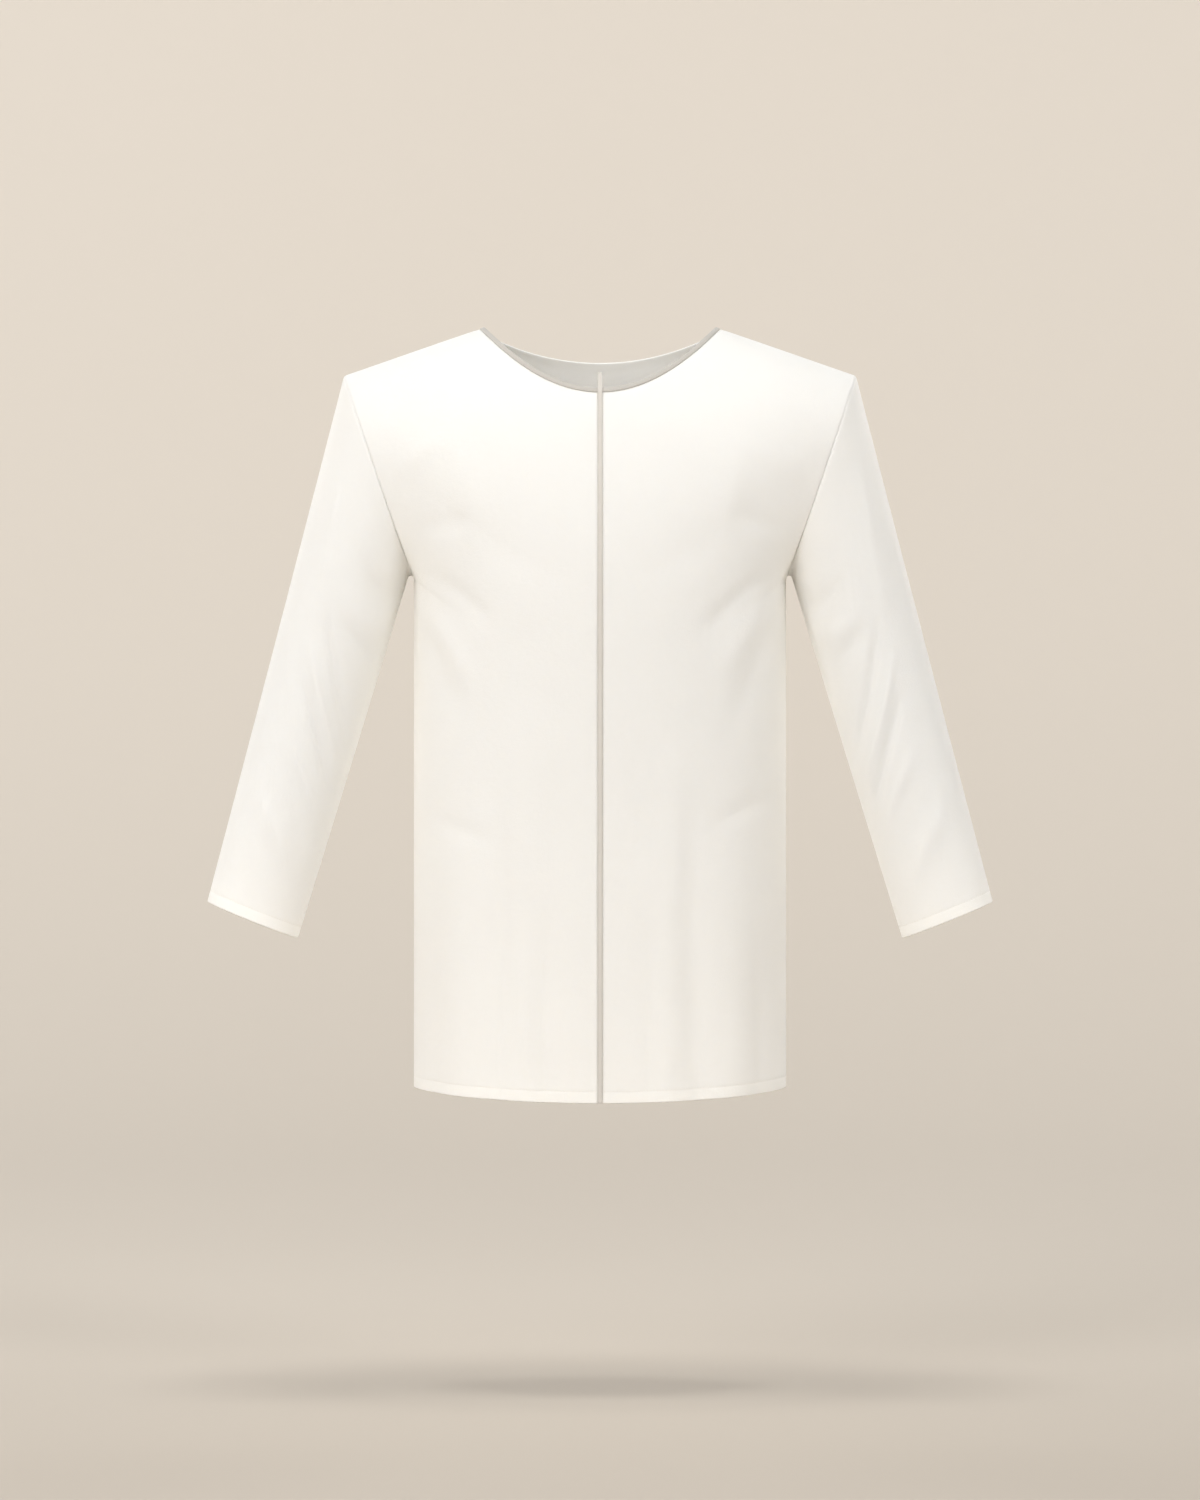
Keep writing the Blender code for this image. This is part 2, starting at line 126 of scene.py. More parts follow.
# Soft creases: from x, z to x, z, bow sideways, half width, rise (below 0 is a trough)
FRONT_CREASES = (
    (0.168, -0.226, 0.088, -0.300, 0.004, 0.0090, -0.0024),
    (0.172, -0.246, 0.104, -0.352, 0.006, 0.0115, 0.0022),
    (0.174, -0.262, 0.122, -0.398, 0.005, 0.0105, -0.0018),
    (0.184, -0.190, 0.112, -0.176, -0.003, 0.0095, -0.0016),
    (0.196, -0.150, 0.128, -0.108, 0.004, 0.0110, 0.0013),
    (0.150, -0.060, 0.116, -0.240, 0.008, 0.0150, 0.0017),
    (0.046, -0.800, 0.040, -0.520, 0.004, 0.0100, -0.0018),
    (0.098, -0.800, 0.086, -0.400, -0.006, 0.0110, -0.0024),
    (0.150, -0.790, 0.146, -0.540, 0.002, 0.0080, -0.0016),
    (0.172, -0.440, 0.096, -0.478, 0.004, 0.0095, -0.0014),
    (0.060, -0.360, 0.074, -0.560, -0.005, 0.0150, 0.0013),
    (-0.170, -0.228, -0.094, -0.290, -0.005, 0.0088, -0.0022),
    (-0.173, -0.250, -0.114, -0.360, -0.004, 0.0112, 0.0024),
    (-0.175, -0.268, -0.130, -0.384, -0.004, 0.0100, -0.0017),
    (-0.182, -0.186, -0.106, -0.182, 0.004, 0.0100, -0.0015),
    (-0.197, -0.146, -0.134, -0.104, -0.004, 0.0105, 0.0014),
    (-0.148, -0.066, -0.110, -0.250, -0.006, 0.0145, 0.0018),
    (-0.044, -0.800, -0.052, -0.500, -0.005, 0.0105, -0.0020),
    (-0.100, -0.800, -0.094, -0.420, 0.005, 0.0100, -0.0022),
    (-0.153, -0.790, -0.148, -0.520, -0.003, 0.0085, -0.0017),
    (-0.171, -0.456, -0.090, -0.486, 0.003, 0.0095, -0.0013),
    (-0.064, -0.340, -0.070, -0.580, 0.006, 0.0150, 0.0014),
)

# The grid: turns round the armhole, close rows at the stitched hem, plain rows above it, and columns from
# centre to side, of which the neckline takes its share
EDGE_TURNS = (0.5, 1.2, 178.2, 179.0, 179.6)
TURNS = np.radians(np.unique(np.concatenate([np.arange(0, 180.1, 2.5), EDGE_TURNS])))
HEM_ROWS = np.array([0, 0.6, 1.6, 3, 5, 7.5, 9.2, 10, 10.5, 11, 11.8, 13, 15]) / 1000
HEM_STRETCH = 0.02
BODY_ROWS = 96
NECK_SHARE = 8 / 15
COLUMNS = np.unique(
    np.concatenate([np.linspace(0, NECK_SHARE, 49), np.linspace(NECK_SHARE, 1, 56), [0.9935, 0.9975]])
)


def smooth(x):
    """0 below 0, 1 above 1, and 3x^2 - 2x^3 between."""
    x = np.clip(x, 0.0, 1.0)
    return x * x * (3 - 2 * x)


def smooth_table(x, rows):
    """Value at x from (x, value) rows, level at each row and smooth between."""
    total = np.full(np.shape(x), rows[0][1], float)
    for (low, first), (high, last) in zip(rows, rows[1:]):
        total = total + (last - first) * smooth((x - low) / (high - low))
    return total


def unit(v):
    """Vectors divided by their length."""
    return v / np.linalg.norm(v, axis=-1, keepdims=True)


def normals(surface, u, v, sign):
    """Cross product of the surface's slopes in u and v, each from two points one small step apart."""
    du = surface(u + SLOPE_STEP, v) - surface(u - SLOPE_STEP, v)
    dv = surface(u, v + SLOPE_STEP) - surface(u, v - SLOPE_STEP)
    return sign * unit(np.cross(du, dv))


def armhole_height(turn):
    """Straight line from underarm to shoulder tip in the front view, at half of 1 - cos of the turn."""
    return UNDERARM + (1 - np.cos(turn))[..., None] / 2 * (SHOULDER_TIP - UNDERARM)


def armhole_depth(turn):
    """Half depth times sin of the turn, the sine raised to a power below the middle."""
    sine = np.clip(np.sin(turn), 0, 1)
    return ARMHOLE_HALF_DEPTH * np.where(turn < math.pi / 2, sine**UNDERARM_SQUEEZE, sine)


def shoulder_height(x):
    """Straight slope outside the neck, and a parabola over it."""
    over_neck = RIDGE_RISE_OVER_NECK * (1 - (x / NECK_HALF_WIDTH) ** 2)
    return np.where(x < NECK_HALF_WIDTH, over_neck, -SHOULDER_SLOPE * (x - NECK_HALF_WIDTH))


def lower_body(face, s, t):
    """Cubic Bezier in s from centre line to side, for rows t: 0 hem, 1 underarm, 2 middle of armhole."""
    to_underarm = np.clip(t, 0, 1)
    past_underarm = np.clip(t - 1, 0, 1)
    centre_low = -HEM_DROP - HEM_DIP
    centre = centre_low + (face["row_at_underarm"] - centre_low) * to_underarm
    centre = centre + (face["deepest"] - face["row_at_underarm"]) * past_underarm
    depth = smooth_table(centre, face["depths"])
    edge = armhole_height(math.pi / 2 * past_underarm**2)
    edge_x = edge[..., 0]
    edge_z = edge[..., 1] - (HEM_DROP - UNDERARM_DROP) * (1 - to_underarm)
    edge_depth = armhole_depth(math.pi / 2 * past_underarm**2)
    turn = past_underarm**4 * (5 - 4 * past_underarm)
    heading = math.pi / 2 + (face["yoke_angle"] - math.pi / 2) * turn
    first = WIDTH_HANDLE * BODY_HALF_WIDTH * (1 - turn) + YOKE_WIDTH_HANDLE * turn
    last = DEPTH_HANDLE * (depth - edge_depth) * (1 - turn) + YOKE_DEPTH_HANDLE * turn
    b1, b2, b3 = 3 * s * (1 - s) ** 2, 3 * s * s * (1 - s), s**3
    x = b1 * first + b2 * (edge_x - last * np.cos(heading)) + b3 * edge_x
    out = (1 - b2 - b3) * depth + b2 * (edge_depth + last * np.sin(heading)) + b3 * edge_depth
    z = centre * (1 - b2 - b3) + edge_z * (b2 + b3)
    return np.stack([x, face["sign"] * out, z], axis=-1)


def upper_body(face, s, rise):
    """Quarter turn of each column s above row 2: x and z by sin and 1 - cos of the rise, depth by cos."""
    base = lower_body(face, s, np.full(np.shape(s), 2.0))
    ridge_x = base[..., 0] * SHOULDER_HALF_WIDTH / ((UNDERARM[0] + SHOULDER_TIP[0]) / 2)
    height = shoulder_height(ridge_x) - base[..., 2]
    weight = smooth(s)
    centre_rise = face["deepest"] - face["row_at_underarm"]
    edge_run, edge_rise = (SHOULDER_TIP - UNDERARM) * math.pi / 2
    start = height * weight * edge_run / (weight * edge_rise + (1 - weight) * centre_rise)
    swell = ridge_x - base[..., 0] - start
    x = base[..., 0] + start * np.sin(rise) + swell * (1 - np.cos(rise))
    return np.stack([x, base[..., 1] * np.cos(rise), base[..., 2] + height * np.sin(rise)], axis=-1)


def top_edge(face):
    """Column and rise along the top: the neckline's parabola, then the shoulder seam.

    Each neckline point is found by moving its column until the surface there has the parabola's x.
    """
    neck = COLUMNS <= NECK_SHARE + 1e-9
    x = NECK_HALF_WIDTH * np.sin(math.pi / 2 * COLUMNS[neck] / NECK_SHARE)
    z = -face["neck_drop"] * (1 - (x / NECK_HALF_WIDTH) ** 2)
    s = x / SHOULDER_HALF_WIDTH
    for _ in range(NECKLINE_PASSES):
        low = upper_body(face, s, np.zeros(len(s)))[:, 2]
        high = upper_body(face, s, np.full(len(s), math.pi / 2))[:, 2]
        rise = np.arcsin(np.clip((z - low) / (high - low), 0, 1))
        s = s + (x - upper_body(face, s, rise)[:, 0]) / SHOULDER_HALF_WIDTH
    outward = (COLUMNS[~neck] - NECK_SHARE) / (1 - NECK_SHARE)
    s = np.concatenate([s, s[-1] + (1 - s[-1]) * outward])
    return s, np.concatenate([rise, np.full(len(outward), math.pi / 2)])


def half_panel(face):
    """Lattice and outward normals of half the front or back, rows from hem up, columns from centre out."""
    ends = lower_body(face, COLUMNS, 0 * COLUMNS + HEM_STRETCH) - lower_body(face, COLUMNS, 0 * COLUMNS)
    hem = HEM_ROWS[:, None] * HEM_STRETCH / np.linalg.norm(ends, axis=-1)
    plain = hem[-1] + (1 - hem[-1]) * (np.arange(1, BODY_ROWS + 1) / BODY_ROWS)[:, None]
    below = TURNS[(TURNS > 0) & (TURNS <= math.pi / 2 + 1e-9)] / (math.pi / 2)
    beside = np.repeat(1 + np.sqrt(below)[:, None], len(COLUMNS), axis=1)
    t = np.concatenate([hem, plain, beside])
    s = np.broadcast_to(COLUMNS, t.shape)
    lower = lower_body(face, s, t)
    lower_out = normals(lambda u, v: lower_body(face, u, v), s, t, -face["sign"])
    top_s, top_rise = top_edge(face)
    share = (TURNS[TURNS > math.pi / 2 + 1e-9] / (math.pi / 2) - 1)[:, None]
    fanned = COLUMNS + (top_s - COLUMNS) * share**COLUMN_FAN
    upper = upper_body(face, fanned, top_rise * share)
    upper_out = normals(lambda u, v: upper_body(face, u, v), fanned, top_rise * share, -face["sign"])
    points, out = np.concatenate([lower, upper]), np.concatenate([lower_out, upper_out])
    side_rows = len(hem) + len(plain)
    slope = math.atan(SHOULDER_SLOPE)
    out[:, 0, 0] = 0
    out[:side_rows, -1] = (1, 0, 0)
    out[-1, COLUMNS >= NECK_SHARE - 1e-9] = (math.sin(slope), 0, math.cos(slope))
    return points, unit(out), side_rows


def sleeve_form(turn, side, w):
    """Ellipses between the sleeve's two edges: w is 0 to 1 over the arch under the arm, and 2 at the cuff."""
    arch, run = np.clip(w, 0, 1), np.clip(w - 1, 0, 1)
    turned = arch * ARCH_END
    over = smooth(1 - turn / ARCH_REACH)
    along = arch * ARCH_SHIFT + run * (1 - ARCH_SHIFT)
    arch_x = UNDERARM[0] + ARCH_RADIUS * (1 - np.cos(turned))
    arch_z = UNDERARM[1] + ARCH_RADIUS * np.sin(turned)
    plain_x = UNDERARM[0] + (CUFF_INNER[0] - UNDERARM[0]) * along
    plain_z = UNDERARM[1] + (CUFF_INNER[1] - UNDERARM[1]) * along
    inner_x = plain_x + over * (arch_x + (CUFF_INNER[0] - arch_x) * run - plain_x)
    inner_z = plain_z + over * (arch_z + (CUFF_INNER[1] - arch_z) * run - plain_z)
    outer_x = SHOULDER_TIP[0] + (CUFF_OUTER[0] - SHOULDER_TIP[0]) * along
    outer_z = SHOULDER_TIP[1] + (CUFF_OUTER[1] - SHOULDER_TIP[1]) * along
    share = (1 - np.cos(turn)) / 2
    squeeze = 1 + (UNDERARM_SQUEEZE - 1) * (1 - smooth(3 * run))
    sine = np.clip(np.sin(turn), 0, 1)
    section = np.where(turn < math.pi / 2, sine**squeeze, sine)
    half_depth = ARMHOLE_HALF_DEPTH + (CUFF_HALF_DEPTH - ARMHOLE_HALF_DEPTH) * run
    y = side * half_depth * section - SLEEVE_FORWARD * run**SLEEVE_SWING
    x = inner_x + (outer_x - inner_x) * share
    z = inner_z + (outer_z - inner_z) * share
    return np.stack([x, y, z], axis=-1)


def armhole_mitre(face):
    """Wall direction that body and sleeve share along the armhole.

    It is the sum of both normals, lengthened so that each wall keeps its thickness.
    """
    points, out, side_rows = half_panel(face)
    body_out = out[side_rows - 1 :, -1]
    loop = sleeve_form(TURNS, face["sign"], 0 * TURNS)
    away = sleeve_form(TURNS, face["sign"], 0 * TURNS + MITRE_LOOK_AHEAD) - loop
    tangent = np.gradient(loop, axis=0)
    tangent[0] = tangent[-1] = (0, face["sign"], 0)
    sleeve_out = unit(np.cross(tangent, away))
    sleeve_out = sleeve_out * np.where(sleeve_out[:, 1] * face["sign"] < 0, -1, 1)[:, None]
    down = unit(CUFF_OUTER - SHOULDER_TIP)
    sleeve_out[0] = (1, 0, 0)
    sleeve_out[-1] = (-down[1], 0, down[0])
    total = unit(body_out + sleeve_out)
    for _ in range(MITRE_SMOOTHINGS):
        total[1:-1] = unit(total[:-2] + 2 * total[1:-1] + total[2:])
    return total / np.clip(np.sum(total * body_out, axis=1), MITRE_LIMIT, 1)[:, None]


def distance_in(points, axis):
    """Distance of each lattice point from the last row or column, added up along the lattice."""
    steps = np.linalg.norm(np.diff(points, axis=axis), axis=-1)
    from_end = np.flip(np.cumsum(np.flip(steps, axis), axis=axis), axis)
    pad = [(0, 0), (0, 0)]
    pad[axis] = (0, 1)
    return np.pad(from_end, pad)


def bell(x, width):
    """exp of minus x over width, squared."""
    return np.exp(-((x / width) ** 2))


def creases(rows, a, b):
    """Sum of bell curves across bowed lines from one place to another, each faded out at both ends."""
    total = np.zeros(np.shape(a))
    for a0, b0, a1, b1, bow, width, rise in rows:
        run_a, run_b = a1 - a0, b1 - b0
        length = math.hypot(run_a, run_b)
        along = ((a - a0) * run_a + (b - b0) * run_b) / length**2
        across = ((a - a0) * run_b - (b - b0) * run_a) / length - bow * 4 * along * (1 - along)
        fade = smooth(along / CREASE_FADE) * smooth((1 - along) / CREASE_FADE)
        total = total + rise * bell(across, width) * fade
    return total


def folds(rows, x, z):
    """Sum of bell curves across, each growing smoothly from its fading height down to the hem."""
    total = np.zeros(np.shape(x))
    for place, width, depth, fade in rows:
        total = total + depth * bell(x - place, width) * smooth((fade - z) / (HEM_DROP + fade))
    return total


def quads_between(index):
    """Corner numbers of the quads between neighbouring rows and columns of a grid of numbers."""
    corners = (index[:-1, :-1], index[:-1, 1:], index[1:, 1:], index[1:, :-1])
    return np.stack(corners, axis=-1).reshape(-1, 4)


def make_mesh(name, points, faces, flat_points, flat_faces, finish):
    """One closed mesh, faces outwards, with the flat pattern in metres as its UV map."""
    mesh = bpy.data.meshes.new(name)
    mesh.from_pydata(points.tolist(), [], faces.tolist())
    mesh.uv_layers.new(name="pattern").data.foreach_set("uv", flat_points[flat_faces.ravel()].ravel())
    bm = bmesh.new()
    bm.from_mesh(mesh)
    bmesh.ops.recalc_face_normals(bm, faces=bm.faces)
    bm.to_mesh(mesh)
    bm.free()
    mesh.shade_smooth()
    mesh.materials.append(finish)
    piece = bpy.data.objects.new(name, mesh)
    bpy.context.scene.collection.objects.link(piece)
    return piece


def shell(name, outer, inner, free, flat, finish):
    """A cloth wall between two lattices. Its edge is bowed out by the length given in free at each point.

    A lattice whose flat map has one more column than points is a tube.
    """
    rows, columns = outer.shape[:2]
    tube = flat.shape[1] > columns
    count = rows * columns
    grid = np.arange(count).reshape(rows, columns)
    flat_grid = np.arange(flat.shape[0] * flat.shape[1]).reshape(flat.shape[:2])
    outside = np.concatenate([grid, grid[:, :1]], axis=1) if tube else grid
    if tube:
        loops = [(outside[0], grid[1], flat_grid[0]), (outside[-1], grid[-2], flat_grid[-1])]
        loops = [(edge, np.append(near, near[0]), seam) for edge, near, seam in loops]
    else:
        i, j = np.meshgrid(np.arange(rows), np.arange(columns), indexing="ij")
        near = grid[np.clip(i, 1, rows - 2), np.clip(j, 1, columns - 2)]
        walk = [(0, slice(None)), (slice(1, None), -1), (-1, slice(-2, None, -1)), (slice(-2, None, -1), 0)]
        loops = [tuple(np.concatenate([g[w] for w in walk]) for g in (grid, near, flat_grid))]
    points = [outer.reshape(-1, 3), inner.reshape(-1, 3)]
    faces = [quads_between(outside), quads_between(outside) + count]
    flat_faces = [quads_between(flat_grid)] * 2
    start = 2 * count
    for edge, near, seam in loops:
        ring, away = edge[:-1], unit(points[0][edge[:-1]] - points[0][near[:-1]])
        points.append((points[0][ring] + points[1][ring]) / 2 + away * free.ravel()[ring][:, None])
        middle = np.append(start + np.arange(len(ring)), start)
        faces += [quads_between(np.stack([edge, middle])), quads_between(np.stack([middle, edge + count]))]
        flat_faces += [quads_between(np.stack([seam, seam]))] * 2
        start += len(ring)
    flat_points = flat.reshape(-1, 2)
    return make_mesh(
        name, np.concatenate(points), np.concatenate(faces), flat_points, np.concatenate(flat_faces), finish
    )


class Socket:
    """An output socket of a shader, so that sums of sockets and numbers make the nodes for them."""

    def __init__(self, tree, socket):
        self.tree, self.socket = tree, socket

    def node(self, kind, settings=None, out=0, **values):
        """A node of a kind: settings first, then values or sockets, by input name with _ for a space."""
        made = self.tree.nodes.new(kind)
        for key, value in (settings or {}).items():
            setattr(made, key, value)
        for key, value in values.items():
            wanted = [i for i in made.inputs if i.name.replace(" ", "_") == key and i.enabled]
            self.feed(wanted[0], value)
        return Socket(self.tree, made.outputs[out])

    def feed(self, target, value):
        """Links a socket to an input, or sets the input to a plain value."""
        if isinstance(value, Socket):
            self.tree.links.new(value.socket, target)
        else:
            target.default_value = value

    def maths(self, operation, *terms):
        """A Math node on numbers, or a Vector Math node if a term is a vector or colour."""
        plain = all(not isinstance(t, Socket) or t.socket.type == "VALUE" for t in terms)
        made = self.tree.nodes.new("ShaderNodeMath" if plain else "ShaderNodeVectorMath")
        made.operation = operation
        for target, term in zip(made.inputs, terms):
            if not plain and isinstance(term, (int, float)):
                term = (term,) * 3
            self.feed(target, term)
        return Socket(self.tree, made.outputs[0])

    def __add__(self, other):
        return self.maths("ADD", self, other)

    def __radd__(self, other):
        return self.maths("ADD", other, self)

    def __sub__(self, other):
        return self.maths("SUBTRACT", self, other)

    def __rsub__(self, other):
        return self.maths("SUBTRACT", other, self)

    def __mul__(self, other):
        return self.maths("MULTIPLY", self, other)

    def __rmul__(self, other):
        return self.maths("MULTIPLY", other, self)

    def sine(self):
        return self.maths("SINE", self)

    def size(self):
        return self.maths("ABSOLUTE", self)

    def blend(self, first, second):
        """A colour between two others, by this socket's value."""
        return self.node("ShaderNodeMix", {"data_type": "RGBA"}, out=2, Factor=self, A=first, B=second)


def cloth_material(name, finish):
    """A material whose shader gets constants from the finish, and colour, roughness and bump from a rule.

    finish has the shader's constants by input name. Its rule takes the flat map and the object's place, and
    gives colour, roughness and height in metres.
    """
    material = bpy.data.materials.new(name)
    material.use_nodes = True
    tree = material.node_tree
    shader = tree.nodes["Principled BSDF"]
    for key, value in finish["constants"].items():
        shader.inputs[key].default_value = value
    start = Socket(tree, tree.nodes.new("ShaderNodeTexCoord").outputs["Object"])
    pattern = start.node("ShaderNodeUVMap", {"uv_map": "pattern"})
    colour, roughness, height = finish["rule"](pattern, start)
    start.feed(shader.inputs["Base Color"], colour)
    start.feed(shader.inputs["Roughness"], roughness)
    bump = start.node("ShaderNodeBump", Strength=1.0, Distance=1.0, Height=height)
    start.feed(shader.inputs["Normal"], bump)
    return material


WEAVE_PITCH = 0.00062
WEAVE_HEIGHT = 0.000020
GRAIN_HEIGHT = 0.000140
SLUB_HEIGHT = 0.00021


def crepe_rule(pattern, place):
    """Fine plain weave with a pebbled grain, and a very faint unevenness of the ivory dye."""
    across = pattern.node("ShaderNodeSeparateXYZ", Vector=pattern)
    along = Socket(across.tree, across.socket.node.outputs[1])
    thread = 2 * math.pi / WEAVE_PITCH
    wander = place.node("ShaderNodeTexNoise", Vector=place, Scale=70.0, Detail=2.0) * 1.6
    weave = (across * thread + wander).sine() * (along * thread + wander).sine()
    grain = place.node("ShaderNodeTexNoise", Vector=place, Scale=820.0, Detail=3.0, Roughness=0.6)
    slub = place.node("ShaderNodeTexNoise", Vector=place, Scale=150.0, Detail=2.0)
    cloud = place.node("ShaderNodeTexNoise", Vector=place, Scale=9.0, Detail=3.0)
    height = weave * WEAVE_HEIGHT + grain * GRAIN_HEIGHT + slub * SLUB_HEIGHT
    tone = cloud * 0.8 + grain * 0.2
    colour = tone.blend((0.915, 0.895, 0.842, 1), (0.950, 0.932, 0.883, 1))
    return colour, 0.56 + grain * 0.16, height


CREPE = cloth_material(
    "ivory_crepe",
    {
        "constants": {
            "Sheen Weight": 0.22,
            "Sheen Roughness": 0.45,
            "Sheen Tint": (1.0, 0.985, 0.95, 1),
            "Specular IOR Level": 0.32,
            "Subsurface Weight": 0.8,
            "Subsurface Radius": (1.0, 0.96, 0.90),
            "Subsurface Scale": 0.0035,
        },
        "rule": crepe_rule,
    },
)


def turning(distance, width):
    """Extra thickness where the cloth is turned: whole up to a width from the edge, then gone smoothly."""
    return TURNED * (1 - smooth((distance - width) / TURNING_EDGE))


def dressed_half(face, fold_rows, crease_rows, hand, seamed_neck):
    """Outer and inner lattices of half a panel with folds, creases, sunk seams and the turned hem.

    Each is an offset along the plain form's normals.
    """
    points, out, side_rows = half_panel(face)
    mitre = armhole_mitre(face)
    to_side, to_top = distance_in(points, 1), distance_in(points, 0)
    from_hem = distance_in(points[::-1], 0)[::-1]
    shoulder = COLUMNS >= NECK_SHARE
    calm = smooth(to_side / SEAM_CALM) * smooth(to_top / SEAM_CALM)
    x = hand * points[..., 0]
    calm = calm * smooth((np.abs(x) - TAPE_CALM) / TAPE_FADE)
    lift = folds(fold_rows, x, points[..., 2]) + creases(crease_rows, x, points[..., 2]) * calm
    short_wave, long_wave = (np.sin(points[..., 2] * wave) for wave in PUCKER_WAVES)
    pucker = 1 + PUCKER * short_wave * long_wave
    dip = bell(to_side, SEAM_SPREAD) * pucker
    sewn_top = shoulder | seamed_neck
    dip = np.maximum(dip, bell(to_top, SEAM_SPREAD) * sewn_top)
    lift = lift - SEAM_DIP * dip - STITCH_DENT * bell(from_hem - STITCH_LINE, STITCH_SPREAD)
    outer = points + out * lift[..., None]
    thick = CLOTH + turning(from_hem, STITCH_LINE + TURNING_EDGE)
    thick = thick + turning(to_top, NECK_TURNING) * ~sewn_top
    inner = outer - out * thick[..., None]
    seam = points[side_rows - 1 :, -1]
    outer[side_rows - 1 :, -1] = seam - mitre * (SEAM_DIP * dip[side_rows - 1 :, -1:])
    inner[side_rows - 1 :, -1] = outer[side_rows - 1 :, -1] - mitre * thick[side_rows - 1 :, -1:]
    free = np.zeros(points.shape[:2])
    free[0] = FOLDED_EDGE_BULGE
    free[-1] = FOLDED_EDGE_BULGE * ~sewn_top
    for lattice in (outer, inner):
        lattice[:side_rows, -1, 1] += face["sign"] * SEAM_HALF_GAP
        lattice[-1, shoulder, 1] += face["sign"] * SEAM_HALF_GAP
        lattice[..., 0] *= hand
    across = np.pad(np.cumsum(np.linalg.norm(np.diff(points, axis=1), axis=-1), axis=1), ((0, 0), (1, 0)))
    flat = np.stack([hand * across, from_hem], axis=-1)
    return outer, inner, free, flat


STITCH_ROW = int(np.argmin(np.abs(HEM_ROWS - STITCH_LINE)))
hem_paths = {}
for name, hand in (("front_left", 1.0), ("front_right", -1.0)):
    outer, inner, free, flat = dressed_half(FRONT, FRONT_FOLDS, FRONT_CREASES, hand, True)
    for lattice in (outer, inner):
        lattice[:, 0, 0] += hand * CENTRE_HALF_GAP
    piece = shell(name + "_cloth", outer, inner, free, flat, CREPE)
    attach(piece, "root")
    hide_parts(name)
    hem_paths[name] = (outer[STITCH_ROW], unit(outer[STITCH_ROW] - inner[STITCH_ROW]))


# The back: one piece of the same crepe, cut whole from side seam to side seam. Its neck edge is turned
# narrowly and left plain.
BACK = {
    "sign": 1.0,
    "neck_drop": 0.0269,
    "deepest": -0.205,
    "row_at_underarm": -0.300,
    "yoke_angle": math.radians(18),
    "depths": ((-0.730, 0.108), (-0.450, 0.101), (-0.205, 0.112)),
}
BACK_FOLDS = (
    (-0.118, 0.026, 0.0044, -0.320),
    (-0.045, 0.024, 0.0036, -0.380),
    (0.036, 0.022, 0.0030, -0.360),
    (0.113, 0.026, 0.0046, -0.300),
)
BACK_CREASES = (
    (0.172, -0.232, 0.100, -0.310, 0.005, 0.0105, -0.0025),
    (0.173, -0.256, 0.120, -0.372, 0.004, 0.0120, 0.0024),
    (0.190, -0.188, 0.116, -0.200, -0.004, 0.0110, -0.0018),
    (0.200, -0.140, 0.110, -0.120, 0.006, 0.0120, 0.0015),
    (0.076, -0.800, 0.070, -0.360, 0.007, 0.0110, -0.0026),
    (0.150, -0.790, 0.142, -0.500, -0.003, 0.0090, -0.0018),
    (0.060, -0.120, 0.072, -0.340, 0.006, 0.0160, 0.0019),
    (0.002, -0.800, -0.006, -0.430, -0.004, 0.0120, -0.0023),
    (0.120, -0.430, 0.020, -0.452, -0.006, 0.0110, -0.0015),
    (0.110, -0.462, 0.030, -0.478, 0.005, 0.0110, 0.0014),
    (-0.172, -0.234, -0.096, -0.304, -0.004, 0.0100, -0.0023),
    (-0.174, -0.258, -0.116, -0.362, -0.005, 0.0125, 0.0024),
    (-0.189, -0.184, -0.118, -0.206, 0.003, 0.0105, -0.0016),
    (-0.199, -0.136, -0.116, -0.118, -0.005, 0.0115, 0.0015),
    (-0.084, -0.800, -0.078, -0.380, -0.006, 0.0105, -0.0025),
    (-0.152, -0.790, -0.146, -0.490, 0.004, 0.0090, -0.0019),
    (-0.064, -0.110, -0.070, -0.350, -0.005, 0.0155, 0.0018),
    (-0.126, -0.442, -0.034, -0.460, 0.006, 0.0105, -0.0014),
)
halves = [dressed_half(BACK, BACK_FOLDS, BACK_CREASES, hand, False) for hand in (1.0, -1.0)]
outer, inner, free, flat = (np.concatenate([r[:, :0:-1], g], axis=1) for g, r in zip(*halves))
back = shell("back_cloth", outer, inner, free, flat, CREPE)
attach(back, "root")
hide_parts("back")
hem_paths["back"] = (outer[STITCH_ROW], unit(outer[STITCH_ROW] - inner[STITCH_ROW]))


# The two sleeves: one piece each, closed by an underarm seam and set into the armhole with no gathers.
# They taper to a plain cuff edge, turned twice and stitched as the hem is.
CUFF_ROWS = HEM_ROWS[::-1]
ARCH_ROWS = 8
RUN_ROWS = 118
UNDERARM_SEAM_DIP = 0.8
ARMHOLE_PUCKERS = 26

# Creases fade out here: sine of the turn near both edges, and distance from armhole and cuff
EDGE_CALM = 0.45
ARMHOLE_CALM = 0.014
CUFF_CALM = 0.03
RIGHT_CREASE_SHIFT = 0.011
